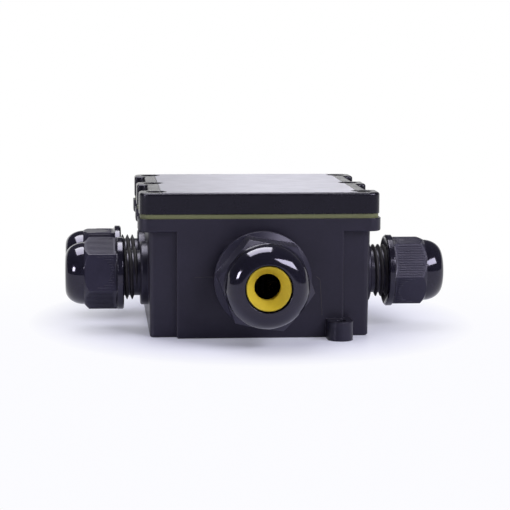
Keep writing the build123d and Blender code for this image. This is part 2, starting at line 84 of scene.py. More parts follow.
# Moulding seams on the front panel in mm: width, height and each seam's corners as (x, z)
SEAM_WIDTH = 0.2
SEAM_HEIGHT = 0.08
SEAMS = (
    ((-25.0, 23.5), (-16.5, 23.5)),
    ((21.2, 23.4), (22.6, 22.3), (23.5, 8.6)),
)

# Screw places in mm: lid screws, wire clamping screws and the strip's fixing screws
LID_SCREW_X = 39.4
LID_SCREW_END_Y = 38.35
LID_SCREW_SEAT = 51.5
LID_SCREWS = [(x, y, LID_SCREW_SEAT) for x in (-LID_SCREW_X, LID_SCREW_X)
              for y in (-LID_SCREW_END_Y, 0.0, LID_SCREW_END_Y)]
POLE_PITCH = 9.4
STRIP_Y = 6.0
CLAMP_SCREW_SPACING = 9.0
CLAMP_SCREW_SEAT = 17.2
CLAMP_SCREWS = [(POLE_PITCH * pole, STRIP_Y + side * CLAMP_SCREW_SPACING / 2, CLAMP_SCREW_SEAT)
                for pole in (-2, -1, 0, 1, 2) for side in (-1, 1)]
STRIP_SCREW_X = 27.7
STRIP_SCREW_SEAT = 10.8
STRIP_SCREWS = [(x, STRIP_Y, STRIP_SCREW_SEAT) for x in (-STRIP_SCREW_X, STRIP_SCREW_X)]

# Screws in mm, by the CAD node that they replace, and the turn of the first and of each next one in radians
SCREWS = {
    "lid_screws": {
        "body": "cover", "spots": LID_SCREWS,
        "head": {"radius": 2.9, "height": 2.0, "edge": 0.6, "recess_kind": "cross", "recess_depth": 1.2},
        "shank": {"radius": 1.5, "length": 12.5, "pitch": 0.7, "neck": 3.0},
    },
    "terminal_screws": {
        "body": "case", "spots": CLAMP_SCREWS,
        "head": {"radius": 2.0, "height": 1.4, "edge": 0.4, "recess_kind": "slot", "recess_depth": 0.7},
        "shank": {"radius": 1.3, "length": 2.2, "pitch": 0.5, "neck": 0.2},
    },
    "terminal_mount_screws": {
        "body": "case", "spots": STRIP_SCREWS,
        "head": {"radius": 2.5, "height": 1.6, "edge": 0.5, "recess_kind": "cross", "recess_depth": 1.0},
        "shank": {"radius": 1.4, "length": 8.5, "pitch": 1.1, "neck": 1.5},
    },
}
FIRST_SCREW_TURN = 0.4
NEXT_SCREW_TURN = 0.83

# Scales of the materials' noise, in repeats a metre
CLOUD_SCALE = 70.0
SPECK_SCALE = 900.0
GLOSS_SCALE = 180.0
GRAIN_SCALE = 2600.0
TARNISH_SCALE = 120.0

# Nuts: roughness of the polished dome, of the satin hexagon and of the skirt, where None is satin too;
# reflection of the satin; where polish turns to satin, in metres from the hexagon's two ends
DOME_ROUGHNESS = 0.09
SATIN_ROUGHNESS = 0.34
SKIRT_ROUGHNESS = {"front": None, "side": 0.15}
SATIN_SPECULAR = 0.29
DOME_BLEND = (-0.0006, 0.0001)
SKIRT_BLEND = (-0.0002, 0.0006)

# Places in metres along X between which the label goes from its painted shade, darker at the left, to its
# full colour
LABEL_PAINTED_SHADE_SPAN = (-0.035, 0.002)

# Floor: distances in metres, on an oval round the box, over which its shading gives way to white; its
# cool tints, a painted shade near the box and a plain tint in front of it; distances along Y over which the
# front tint gives way
FLOOR_OVAL = (1.12, 0.95, 1.0)
FLOOR_FADE = (0.060, 0.100)
FLOOR_PAINTED_SHADE_TINT = (0.88, 0.885, 1.0)
FLOOR_FRONT_TINT = (0.97, 0.97, 1.0)
FRONT_TINT_SPAN = (-0.02, 0.15)

# Lamps: the point that they face and their distances from it in metres; the room's colour
LAMP_AIM = (0.0, -0.01, 0.03)
LAMP_DISTANCE = 1.1
GLINT_DISTANCE = 1.08
ROOM_COLOUR = (0.78, 0.77, 1.0)


# Mesh helpers

def facing_out(points, faces):
    """Faces turned so that the closed shell's signed volume, a sum of corner products, is positive."""
    quads = np.asarray(faces)
    volume = 0.0
    for last in range(2, quads.shape[1]):
        a, b, c = points[quads[:, 0]], points[quads[:, last - 1]], points[quads[:, last]]
        volume += np.einsum("ij,ij->", a, np.cross(b, c))
    return quads if volume > 0 else quads[:, ::-1]


def loop_faces(rows, columns):
    """Quads between neighbouring rows of a grid whose columns run round a closed loop."""
    row, column = np.meshgrid(np.arange(rows - 1), np.arange(columns), indexing="ij")
    following = (column + 1) % columns
    corners = [row * columns + column, row * columns + following,
               (row + 1) * columns + following, (row + 1) * columns + column]
    return np.stack(corners, axis=-1).reshape(-1, 4)


def closed_tube(grid):
    """A grid of rows round closed loops, shut at both ends by a fan of quads drawn to the end's centre."""
    rows, columns = grid.shape[:2]
    first = np.repeat(grid[:1].mean(axis=1, keepdims=True), columns, axis=1)
    last = np.repeat(grid[-1:].mean(axis=1, keepdims=True), columns, axis=1)
    full = np.concatenate([first, grid, last])
    points = full.reshape(-1, 3)
    return points, facing_out(points, loop_faces(rows + 2, columns))


def joined(shells):
    """Several shells' points and faces as one pair of arrays."""
    points = np.concatenate([shell[0] for shell in shells])
    starts = np.cumsum([0] + [len(shell[0]) for shell in shells[:-1]])
    faces = np.concatenate([shell[1] + start for shell, start in zip(shells, starts)])
    return points, faces


def copies(shell, matrices, offsets):
    """One shell repeated: each copy is turned by its matrix and moved by its offset."""
    points, faces = shell
    moved = np.einsum("nij,pj->npi", matrices, points) + offsets[:, None, :]
    starts = (np.arange(len(offsets)) * len(points))[:, None, None]
    return moved.reshape(-1, 3), (faces[None] + starts).reshape(-1, faces.shape[1])


def mesh_piece(name, points_mm, faces, material, body, crease=40.0):
    """Makes an object in metres from points in mm, merges its doubles and rides it on a body."""
    mesh = bpy.data.meshes.new(name)
    mesh.from_pydata((points_mm * MM).tolist(), [], faces.tolist())
    cleaner = bmesh.new()
    cleaner.from_mesh(mesh)
    bmesh.ops.remove_doubles(cleaner, verts=cleaner.verts, dist=1e-7)
    bmesh.ops.dissolve_degenerate(cleaner, edges=cleaner.edges, dist=1e-8)
    cleaner.to_mesh(mesh)
    cleaner.free()
    mesh.shade_smooth()
    mesh.set_sharp_from_angle(angle=math.radians(crease))
    mesh.materials.append(material)
    piece = bpy.data.objects.new(name, mesh)
    bpy.context.scene.collection.objects.link(piece)
    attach(piece, body)
    return piece


def gland_axes(name):
    """Matrix whose columns are the gland's own axes: up, across and outward."""
    outward = np.array(GLANDS[name]["outward"], dtype=float)
    up = np.array([0.0, 0.0, 1.0])
    return np.stack([up, np.cross(outward, up), outward], axis=1)


def on_gland(name, points, turned_with_nut):
    """Points given along a gland's axis, set in the shared frame; the nut's own sit further out."""
    gland = GLANDS[name]
    advance = THREAD_PITCH * gland["turn"] / 360 if turned_with_nut else 0.0
    shifted = points + np.array([0.0, 0.0, advance])
    return shifted @ gland_axes(name).T + np.array(gland["foot"])


# Shapes

def helical_ridge(root, crest, pitch, start, end, buried, fade_turns, first_turn=0.0, per_turn=72):
    """A thread's ridge: a rounded triangle carried along a right-hand helix.

    Along the path the angle t grows from first_turn and the height is start + pitch * t / (2 pi).
    Across it the profile is a closed loop of (height offset, radius) points. The radius above the
    buried foot is scaled by a fade that rises from 0 over the first turns, as a thread runs out, and
    the profile widens with it.
    """
    turns = (end - start) / pitch
    angle = np.linspace(0, turns * FULL_TURN, max(int(turns * per_turn), 12))
    half = pitch / 2
    offsets = np.array([-0.80, -0.42, -0.12, 0.0, 0.12, 0.42, 0.80, 0.0]) * half
    depth = crest - root
    heights = np.array([0.0, 0.55, 0.96, 1.0, 0.96, 0.55, 0.0, 0.0]) * depth
    heights[[0, 6]] = -0.25 * buried
    heights[7] = -buried
    fade = np.clip(angle / (fade_turns * FULL_TURN), 0.0, 1.0)
    fade = fade * fade * (3 - 2 * fade)
    radius = root - buried + (heights[None] + buried) * fade[:, None]
    narrow = 0.15
    width = narrow + (1 - narrow) * fade[:, None]
    height = start + pitch * angle[:, None] / FULL_TURN + offsets[None] * width
    around = angle[:, None] + first_turn * FULL_TURN
    grid = np.stack([radius * np.cos(around), radius * np.sin(around), height], axis=-1)
    return closed_tube(grid)


def rib_set(size, turn, ribs):
    """Fine axial ribs on a hexagon nut's six faces.

    A rib is a half ellipse, (width / 2 * cos v, height * sin v), carried along the axis. Its height
    is scaled by sqrt(1 - (2 s - 1)^8) over its length s, so both ends are round. Its dome end
    follows the hexagon's corner cone, and on two opposite faces it stops at a smooth round pad.
    """
    apothem = size["flats"] / 2
    side = size["flats"] / math.sqrt(3)
    ribbed = side - 2 * ribs.margin / MM
    across = np.linspace(-ribbed / 2, ribbed / 2, ribs.count)
    low = np.full_like(across, size["hex_start"] + RIB_SKIRT_GAP)
    cone = np.sqrt(apothem ** 2 + across ** 2) - apothem
    high = size["hex_end"] - cone - RIB_DOME_GAP
    pad_radius = ribs.pad_share * side / 2
    pad_middle = size["hex_end"] - pad_radius + PAD_PAST_HEX
    pad_edge = pad_middle - np.sqrt(np.clip(pad_radius ** 2 - across ** 2, 0, None))
    pad_high = np.where(np.abs(across) < pad_radius, np.maximum(pad_edge, low + SHORTEST_RIB), high)
    shells = []
    v = np.linspace(0, FULL_TURN, 10, endpoint=False)
    loop_x = ribs.width / MM / 2 * np.cos(v)
    underside = 0.35
    loop_h = np.where(np.sin(v) > 0, np.sin(v), underside * np.sin(v))
    s = np.array([0.0, 0.01, 0.035, 0.08, 0.5, 0.92, 0.965, 0.99, 1.0])
    least_swell = 0.0004
    swell = np.sqrt(np.clip(1 - np.abs(2 * s - 1) ** 8, least_swell, None))
    for face in range(6):
        normal_angle = math.radians(turn + 30 + 60 * face)
        normal = np.array([math.cos(normal_angle), math.sin(normal_angle), 0.0])
        along_face = np.array([-math.sin(normal_angle), math.cos(normal_angle), 0.0])
        ends = pad_high if face % 3 == ribs.pad_face % 3 else high
        for place, bottom, top in zip(across, low, ends):
            rise = apothem + ribs.height / MM * swell[:, None] * loop_h[None] - RIB_FOOT
            sideways = place + swell[:, None] * loop_x[None]
            height = bottom + (top - bottom) * s[:, None] + np.zeros_like(rise)
            grid = rise[..., None] * normal + sideways[..., None] * along_face
            grid[..., 2] += height
            shells.append(closed_tube(grid))
    return joined(shells)


def screw_head(radius, height, edge, recess_kind, recess_depth, shank, rings=26, spokes=96):
    """A screw head: a disc of rings and spokes over the seat at height 0.

    The outline goes from the centre to the rim along z = height - edge * (1 - cos) and down the
    side to the shank. The recess lowers each point by depth * (1 - smooth step) of its distance to
    the slot or to the nearer arm of the cross.
    """
    angle = np.linspace(0, FULL_TURN, spokes, endpoint=False)
    flat = np.linspace(0.0, radius - edge, rings)
    bend = np.linspace(0, math.pi / 2, 7)[1:]
    rim_r = radius - edge + edge * np.sin(bend)
    rim_z = height - edge + edge * np.cos(bend)
    under_head = shank * 0.98
    profile_r = np.concatenate([flat, rim_r, [radius, under_head]])
    profile_z = np.concatenate([np.full(rings, height), rim_z, [0.0, 0.0]])
    crown_height = 0.12 * height
    crown = crown_height * (1 - (profile_r / radius) ** 2)
    profile_z = np.where(profile_z > 0.5 * height, profile_z + crown - crown_height, profile_z)
    x = profile_r[:, None] * np.cos(angle)
    y = profile_r[:, None] * np.sin(angle)
    z = profile_z[:, None] + np.zeros_like(x)
    reach = 0.68 * radius
    arm = 0.155 * radius
    slot = 0.8 * arm
    soft_wall = 0.10 * radius
    if recess_kind == "cross":
        beside = np.minimum(np.abs(x), np.abs(y)) - arm
        beyond = np.maximum(np.abs(x), np.abs(y)) - reach
    else:
        beside = np.abs(y) - slot
        beyond = np.zeros_like(x) - 1.0
    gap = np.maximum(beside, beyond)
    inside = np.clip(0.5 - gap / soft_wall, 0, 1)
    inside = inside * inside * (3 - 2 * inside)
    sunk = profile_z[:, None] > 0.3 * height
    z = z - np.where(sunk, inside * recess_depth, 0.0)
    return closed_tube(np.stack([x, y, z], axis=-1))


def threaded_shank(radius, length, pitch, neck):
    """A shank with a pointed end, and a ridge wound round it below a plain neck."""
    angle = np.linspace(0, FULL_TURN, 32, endpoint=False)
    root = radius * 0.86
    crest = radius * 0.99
    buried = root * 0.1
    tip = root * 0.45
    into_head = 0.2
    cone_start = -length + radius * 0.6
    thread_start = -length + radius * 0.7
    profile_r = np.array([root, root, root, tip])
    profile_z = np.array([into_head, -neck, cone_start, -length])
    x = profile_r[:, None] * np.cos(angle)
    y = profile_r[:, None] * np.sin(angle)
    z = profile_z[:, None] + np.zeros_like(x)
    core = closed_tube(np.stack([x, y, z], axis=-1))
    ridge = helical_ridge(root, crest, pitch, thread_start, -neck, buried, fade_turns=0.5, per_turn=24)
    return joined([core, ridge])


def turned_copies(shell, spots):
    """The shell at each spot, each copy turned a little further about Z."""
    count = len(spots)
    turns = FIRST_SCREW_TURN + NEXT_SCREW_TURN * np.arange(count)
    matrices = np.zeros((count, 3, 3))
    matrices[:, 0, 0] = np.cos(turns)
    matrices[:, 0, 1] = -np.sin(turns)
    matrices[:, 1, 0] = np.sin(turns)
    matrices[:, 1, 1] = np.cos(turns)
    matrices[:, 2, 2] = 1.0
    return copies(shell, matrices, np.array(spots, dtype=float))


def bead_path(corners, width, height, foot_y):
    """A fine moulding seam on the front panel: a low ridge along straight runs between corners.

    Each run is a row of loops (width / 2 * cos v across, height * sin v outwards).
    """
    v = np.linspace(0, FULL_TURN, 8, endpoint=False)
    shells = []
    for (x0, z0), (x1, z1) in zip(corners[:-1], corners[1:]):
        direction = np.array([x1 - x0, 0.0, z1 - z0])
        direction /= np.linalg.norm(direction)
        across = np.array([direction[2], 0.0, -direction[0]])
        ends = np.array([[x0, foot_y, z0], [x1, foot_y, z1]])
        loop = np.cos(v)[:, None] * across * width / 2 - np.sin(v)[:, None] * np.array([0.0, height, 0.0])
        shells.append(closed_tube(ends[:, None, :] + loop[None]))
    return joined(shells)


# Materials

def new_material(name, metallic=0.0, specular=0.5, gleam=WHITE):
    """A node material with its shader and its object coordinates; gleam tints its reflections."""
    material = bpy.data.materials.new(name)
    material.use_nodes = True
    nodes = material.node_tree.nodes
    nodes.clear()
    shader = nodes.new("ShaderNodeBsdfPrincipled")
    output = nodes.new("ShaderNodeOutputMaterial")
    where = nodes.new("ShaderNodeTexCoord")
    material.node_tree.links.new(shader.outputs["BSDF"], output.inputs["Surface"])
    shader.inputs["Metallic"].default_value = metallic
    shader.inputs["Specular IOR Level"].default_value = specular
    shader.inputs["Specular Tint"].default_value = (*gleam, 1)
    return material, shader, where.outputs["Object"]


def add(material, kind, links=(), **settings):
    """A node with its settings; links pairs an input's name or number with an output socket."""
    node = material.node_tree.nodes.new(kind)
    for key, value in settings.items():
        setattr(node, key, value)
    for socket, source in links:
        material.node_tree.links.new(source, node.inputs[socket])
    return node


def noise(material, where, scale, detail, roughness=0.55):
    """Cloudy noise on object coordinates, scale in repeats a metre."""
    node = add(material, "ShaderNodeTexNoise", [("Vector", where)])
    node.inputs["Scale"].default_value = scale
    node.inputs["Detail"].default_value = detail
    node.inputs["Roughness"].default_value = roughness
    return node.outputs["Fac"]


def spread(material, source, low, high, start=0.3, end=0.7):
    """A value mapped from one range to another."""
    node = add(material, "ShaderNodeMapRange", [("Value", source)])
    node.inputs["From Min"].default_value = start
    node.inputs["From Max"].default_value = end
    node.inputs["To Min"].default_value = low
    node.inputs["To Max"].default_value = high
    return node.outputs["Result"]


def combined(material, operation, first, second):
    """Two values combined by a Math node's operation."""
    return add(material, "ShaderNodeMath", [(0, first), (1, second)], operation=operation).outputs[0]


def coordinate(material, where, axis):
    """One of a position's three coordinates, by its letter."""
    return add(material, "ShaderNodeSeparateXYZ", [(0, where)]).outputs[axis]


def blend_colours(material, factor, first, second):
    """A colour between two, by a factor."""
    node = add(material, "ShaderNodeMix", data_type="RGBA")
    node.inputs[6].default_value = (*first, 1)
    node.inputs[7].default_value = (*second, 1)
    material.node_tree.links.new(factor, node.inputs[0])
    return node.outputs[2]


def mix_to_output(material, share, first, second):
    """Sends two shaders to the material's output, mixed by the second's share."""
    mix = add(material, "ShaderNodeMixShader", [(0, share), (1, first.outputs[0]), (2, second.outputs[0])])
    output = material.node_tree.nodes["Material Output"]
    material.node_tree.links.new(mix.outputs["Shader"], output.inputs["Surface"])


def moulded(name, colour, roughness, grain_depth, edge_radius, specular=0.5, tint=0.25, gleam=WHITE):
    """A moulded plastic or rubber: cloudy colour and gloss, fine grain in relief, rounded edges.

    The roughness lies between a pair of values; None leaves it to be set by the caller.
    """
    material, shader, where = new_material(name, specular=specular, gleam=gleam)
    links = material.node_tree.links
    clouds = noise(material, where, CLOUD_SCALE, 4.0)
    specks = noise(material, where, SPECK_SCALE, 2.0)
    darker = [channel * (1 - tint) for channel in colour]
    lighter = [channel * (1 + tint) for channel in colour]
    mixed = combined(material, "ADD", spread(material, clouds, 0.0, 0.7), spread(material, specks, 0.0, 0.3))
    links.new(blend_colours(material, mixed, darker, lighter), shader.inputs["Base Color"])
    if roughness is not None:
        patches = noise(material, where, GLOSS_SCALE, 5.0)
        links.new(spread(material, patches, *roughness), shader.inputs["Roughness"])
    soft_edge = add(material, "ShaderNodeBevel", samples=6)
    soft_edge.inputs["Radius"].default_value = edge_radius
    bump = add(material, "ShaderNodeBump", [("Normal", soft_edge.outputs["Normal"])])
    bump.inputs["Strength"].default_value = 0.6
    bump.inputs["Distance"].default_value = grain_depth
    links.new(noise(material, where, GRAIN_SCALE, 2.0), bump.inputs["Height"])
    links.new(bump.outputs["Normal"], shader.inputs["Normal"])
    return material


def satin_body(material, gland_name, lift):
    """A nut polished at its dome, with a hexagon of satin that is paler by a factor and reflects less.

    The share of satin is 1 between the start of the satin and the end of the hexagon, measured
    along the gland's axis. The skirt is satin too where no roughness is given for it.
    """
    gland = GLANDS[gland_name]
    size = GLAND_SIZES[gland["size"]]
    skirt_roughness = SKIRT_ROUGHNESS[gland["size"]]
    nodes = material.node_tree.nodes
    links = material.node_tree.links
    shader = nodes["Principled BSDF"]
    where = nodes["Texture Coordinate"].outputs["Object"]
    outward = gland["outward"]
    along = add(material, "ShaderNodeVectorMath", [(0, where)], operation="DOT_PRODUCT").outputs["Value"]
    along.node.inputs[1].default_value = outward
    foot = sum(f * o for f, o in zip(gland["foot"], outward))
    advance = THREAD_PITCH * gland["turn"] / 360
    joint = (foot + size["hex_end"] + advance) * MM
    tail = (foot + size["hex_start"] + advance) * MM
    share = spread(material, along, 1.0, 0.0, joint + DOME_BLEND[0], joint + DOME_BLEND[1])
    if skirt_roughness is None:
        shader.inputs["Roughness"].default_value = DOME_ROUGHNESS
    else:
        hexagon = spread(material, along, 0.0, 1.0, tail + SKIRT_BLEND[0], tail + SKIRT_BLEND[1])
        share = combined(material, "MINIMUM", share, hexagon)
        polish = spread(material, along, skirt_roughness, DOME_ROUGHNESS, tail, joint)
        links.new(polish, shader.inputs["Roughness"])
    satin = add(material, "ShaderNodeBsdfPrincipled")
    satin.inputs["Roughness"].default_value = SATIN_ROUGHNESS
    satin.inputs["Specular IOR Level"].default_value = SATIN_SPECULAR
    satin.inputs["Specular Tint"].default_value = shader.inputs["Specular Tint"].default_value
    links.new(shader.inputs["Normal"].links[0].from_socket, satin.inputs["Normal"])
    paler = add(material, "ShaderNodeVectorMath", [(0, shader.inputs["Base Color"].links[0].from_socket)],
                operation="SCALE")
    paler.inputs["Scale"].default_value = lift
    links.new(paler.outputs["Vector"], satin.inputs["Base Color"])
    mix_to_output(material, share, shader, satin)


def drawn(name, colour, roughness, stretch, line_depth, metallic=1.0, specular=0.5, left_painted_shade=None):
    """A metal or silvered surface with fine lines drawn out along one axis, in gloss and relief.

    The roughness lies between a pair of values. Where a shade factor is given, painted shade darkens the
    colour towards the left: it is scaled by that factor at the left of the label's shade span and by 1 at
    its right.
    """
    material, shader, where = new_material(name, metallic=metallic, specular=specular)
    links = material.node_tree.links
    stretched = add(material, "ShaderNodeMapping", [("Vector", where)])
    stretched.inputs["Scale"].default_value = stretch
    lines = noise(material, stretched.outputs["Vector"], 1.0, 4.0, 0.65)
    clouds = noise(material, where, TARNISH_SCALE, 4.0)
    dull_share = 0.86
    dull = [channel * dull_share for channel in colour]
    tone = blend_colours(material, spread(material, clouds, 0.0, 1.0), dull, colour)
    # Painted shade: the colour is darkened towards the left
    if left_painted_shade is not None:
        shade = spread(material, coordinate(material, where, "X"), left_painted_shade, 1.0, *LABEL_PAINTED_SHADE_SPAN)
        shaded = add(material, "ShaderNodeVectorMath", [(0, tone), ("Scale", shade)], operation="SCALE")
        tone = shaded.outputs["Vector"]
    links.new(tone, shader.inputs["Base Color"])
    links.new(spread(material, lines, *roughness), shader.inputs["Roughness"])
    soft_edge = add(material, "ShaderNodeBevel", samples=4)
    edge_radius = 0.00012
    soft_edge.inputs["Radius"].default_value = edge_radius
    bump = add(material, "ShaderNodeBump", [("Normal", soft_edge.outputs["Normal"]), ("Height", lines)])
    bump.inputs["Strength"].default_value = 0.5
    bump.inputs["Distance"].default_value = line_depth
    links.new(bump.outputs["Normal"], shader.inputs["Normal"])
    return material


def floor_finish(colour, glow):
    """A pale floor that keeps the box's shadow and shows white to the camera and in reflections.

    The share of white is glow under the box and 1 beyond the fade, by the length of the position
    scaled by FLOOR_OVAL. Near the box the white carries a painted cool shade, and in front of it the white
    is a little cool.
    """
    material, shader, where = new_material("pale_floor", specular=0.3)
    links = material.node_tree.links
    clouds = noise(material, where, scale=3.0, detail=2.0)
    paler_share = 1.01
    paler = [channel * paler_share for channel in colour]
    links.new(blend_colours(material, clouds, colour, paler), shader.inputs["Base Color"])
    shader.inputs["Roughness"].default_value = 0.35
    path = add(material, "ShaderNodeLightPath").outputs
    seen = combined(material, "MAXIMUM", path["Is Camera Ray"], path["Is Glossy Ray"])
    through = combined(material, "MAXIMUM", seen, path["Is Transmission Ray"])
    oval = add(material, "ShaderNodeMapping", [("Vector", where)])
    oval.inputs["Scale"].default_value = FLOOR_OVAL
    length = add(material, "ShaderNodeVectorMath", [(0, oval.outputs["Vector"])], operation="LENGTH")
    distance = length.outputs["Value"]
    far = spread(material, distance, glow, 1.0, *FLOOR_FADE)
    amount = combined(material, "MULTIPLY", through, far)
    behind = spread(material, coordinate(material, where, "Y"), 0.0, 1.0, *FRONT_TINT_SPAN)
    pale = blend_colours(material, behind, FLOOR_FRONT_TINT, WHITE)
    clear = spread(material, distance, 0.0, 1.0, *FLOOR_FADE)
    # Painted shade: the white near the box is tinted cool
    tinted = add(material, "ShaderNodeMix", [(0, clear), (7, pale)], data_type="RGBA")
    tinted.inputs[6].default_value = (*FLOOR_PAINTED_SHADE_TINT, 1)
    white = add(material, "ShaderNodeEmission", [("Color", tinted.outputs[2])])
    white.inputs["Strength"].default_value = 1.0
    mix_to_output(material, amount, shader, white)
    return material


def dress(node, material):
    """Gives a CAD node its material."""
    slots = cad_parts[node].data.materials
    slots.clear()
    slots.append(material)


# Settings

class BoxFinishSettings(PropertyGroup):
    """Colours of the box's plastics, rubbers and metals."""
    case_colour: FloatVectorProperty(
        name="Case", description="Satin moulded plastic of the case", subtype="COLOR", size=3,
        default=(0.0118, 0.0105, 0.0195), min=0, max=1)
    lid_colour: FloatVectorProperty(
        name="Lid", description="Satin moulded plastic of the lid", subtype="COLOR", size=3,
        default=(0.0050, 0.0046, 0.0080), min=0, max=1)
    gland_colour: FloatVectorProperty(
        name="Glands", description="Glossy plastic of nuts and cages", subtype="COLOR", size=3,
        default=(0.0088, 0.0080, 0.0145), min=0, max=1)
    gasket_colour: FloatVectorProperty(
        name="Gasket", description="Olive sealing rubber", subtype="COLOR", size=3,
        default=(0.128, 0.136, 0.056), min=0, max=1)
    seal_colour: FloatVectorProperty(
        name="Cable seals", description="Yellow rubber of the cable seals", subtype="COLOR", size=3,
        default=(0.62, 0.465, 0.032), min=0, max=1)
    plastic_gleam: FloatVectorProperty(
        name="Plastic gleam", description="Tint of the black plastics' reflections", subtype="COLOR", size=3,
        default=(0.80, 0.76, 1.0), min=0, max=1)
    satin_lift: FloatProperty(
        name="Satin", description="How much paler the nuts' satin hexagons are than their domes",
        default=2.4, min=0.5, max=4)
    label_colour: FloatVectorProperty(
        name="Label", description="Satin silver-grey of the label plate", subtype="COLOR", size=3,
        default=(0.74, 0.73, 0.80), min=0, max=1)


class BoxThreadSettings(PropertyGroup):
    """The thread on the gland spigots."""
    neck: FloatProperty(
        name="Neck", description="From the boss to the thread's first point", unit="LENGTH",
        default=0.00126, min=0, max=0.01)
    first_turn: FloatProperty(
        name="Start", description="Where the thread starts, in turns from the top",
        default=-0.4, min=-1, max=1)
    fade_turns: FloatProperty(
        name="Run-out", description="Turns over which the thread rises to full depth",
        default=0.3, min=0.05, max=2)
    buried: FloatProperty(
        name="Foot depth", description="How deep the ridge's foot sits in the spigot", unit="LENGTH",
        default=0.0002, min=0, max=0.001)


class BoxRibSettings(PropertyGroup):
    """Fine grip ribs on the nuts' faces."""
    count: IntProperty(name="Ribs", description="Ribs on each face", default=13, min=2, max=30)
    width: FloatProperty(
        name="Width", description="Width of a rib", unit="LENGTH", default=0.00050, min=0.0001, max=0.002)
    height: FloatProperty(
        name="Height", description="Height of a rib", unit="LENGTH", default=0.00021, min=0.00005, max=0.001)
    margin: FloatProperty(
        name="Margin", description="Bare width beside the face's edges", unit="LENGTH",
        default=0.0010, min=0, max=0.004)
    pad_share: FloatProperty(
        name="Pad size", description="Diameter of the smooth pad as a share of the face's width",
        default=0.86, min=0.1, max=1)
    pad_face: IntProperty(
        name="Pad face", description="First of the two opposite faces with a smooth pad",
        default=0, min=0, max=2)


class BoxStudioSettings(PropertyGroup):
    """Camera, floor and lamps."""
    camera_place: FloatVectorProperty(
        name="Camera", description="Camera position", subtype="TRANSLATION", unit="LENGTH", size=3,
        default=(-0.0627, -0.7396, 0.1179))
    yaw: FloatProperty(name="Yaw", description="Camera's turn to the right", unit="ROTATION", default=0.087)
    pitch: FloatProperty(name="Pitch", description="Camera's tilt down", unit="ROTATION", default=0.123)
    roll: FloatProperty(name="Roll", description="Camera's lean", unit="ROTATION", default=-0.004)
    focal_pixels: FloatProperty(
        name="Focal length", description="Focal length in pixels of a 510 pixel wide picture",
        default=1859.95, min=100)
    floor_colour: FloatVectorProperty(
        name="Floor", description="Pale floor and backdrop", subtype="COLOR", size=3,
        default=(0.80, 0.80, 1.0), min=0, max=1)
    floor_glow: FloatProperty(
        name="Floor glow", description="Share of pure white in the floor under the box", default=0.24,
        min=0, max=1)
    overhead_power: FloatProperty(
        name="Overhead softbox", description="Power of the lamp above", unit="POWER", default=6.8, min=0)
    right_power: FloatProperty(
        name="Right softbox", description="Power of the lamp at the front right", unit="POWER",
        default=8.8, min=0)
    left_power: FloatProperty(
        name="Left lamp", description="Power of the small lamp at the left", unit="POWER",
        default=2.4, min=0)
    glint: FloatProperty(
        name="Glint", description="Extra brightness of the lamps in reflections, a square metre",
        default=24.0, min=0)
    world_level: FloatProperty(
        name="Room", description="Brightness of the room around", default=0.13, min=0, max=1)


# Operators

class JUNCTION_BOX_OT_case_finish(Operator):
    """Gives case, lid, gasket and label plate their moulded and satin finishes"""
    bl_idname = "junction_box.case_finish"
    bl_label = "Finish case, lid and label"

    def execute(self, context):
        finish = context.scene.junction_finish
        gleam = finish.plastic_gleam
        case = moulded("case_plastic", finish.case_colour, roughness=(0.30, 0.42), grain_depth=0.00003,
                       edge_radius=0.0004, specular=0.38, gleam=gleam)
        lid = moulded("lid_plastic", finish.lid_colour, roughness=(0.20, 0.30), grain_depth=0.00002,
                      edge_radius=0.0005, specular=0.3, gleam=gleam)
        gasket = moulded("gasket_rubber", finish.gasket_colour, roughness=(0.5, 0.66), grain_depth=0.00002,
                         edge_radius=0.0002, tint=0.12)
        # The label plate's left part is darkened by painted shade
        label = drawn("label_metal", finish.label_colour, roughness=(0.42, 0.54),
                      stretch=(60.0, 1500.0, 60.0), line_depth=0.000004, metallic=0.0, specular=0.3,
                      left_painted_shade=0.74)
        dress("housing", case)
        dress("lid", lid)
        dress("gasket", gasket)
        dress("label_plate", label)
        return {"FINISHED"}


class JUNCTION_BOX_OT_gland_finish(Operator):
    """Gives nuts, cages and cable seals their finishes"""
    bl_idname = "junction_box.gland_finish"
    bl_label = "Finish glands"

    def execute(self, context):
        finish = context.scene.junction_finish
        gleam = finish.plastic_gleam
        cage = moulded("cage_plastic", finish.gland_colour, roughness=(0.3, 0.4), grain_depth=0.00001,
                       edge_radius=0.0001, gleam=gleam)
        seal = moulded("seal_rubber", finish.seal_colour, roughness=(0.42, 0.56), grain_depth=0.00002,
                       edge_radius=0.00025, tint=0.10)
        for name in GLANDS:
            nut = moulded(f"{name}_nut_plastic", finish.gland_colour, roughness=None, grain_depth=0.000003,
                          edge_radius=0.00035, gleam=gleam)
            satin_body(nut, name, finish.satin_lift)
            dress(f"{name}_nut", nut)
            dress(f"{name}_cage", cage)
            dress(f"{name}_seal", seal)
        return {"FINISHED"}


class JUNCTION_BOX_OT_inner_finish(Operator):
    """Gives the terminal strip, inserts and washers their finishes"""
    bl_idname = "junction_box.inner_finish"
    bl_label = "Finish terminals and inserts"

    def execute(self, context):
        brass = drawn("turned_brass", (0.70, 0.52, 0.24), roughness=(0.22, 0.38),
                      stretch=(300.0, 300.0, 2500.0), line_depth=0.000006)
        strip = moulded("terminal_plastic", (0.72, 0.71, 0.66), roughness=(0.38, 0.5), grain_depth=0.00002,
                        edge_radius=0.0002, tint=0.05)
        washer = moulded("washer_rubber", (0.02, 0.02, 0.02), roughness=(0.5, 0.65), grain_depth=0.00002,
                         edge_radius=0.0001)
        dress("terminal_base", strip)
        dress("terminal_sleeves", brass)
        dress("screw_inserts", brass)
        dress("screw_washers", washer)
        return {"FINISHED"}


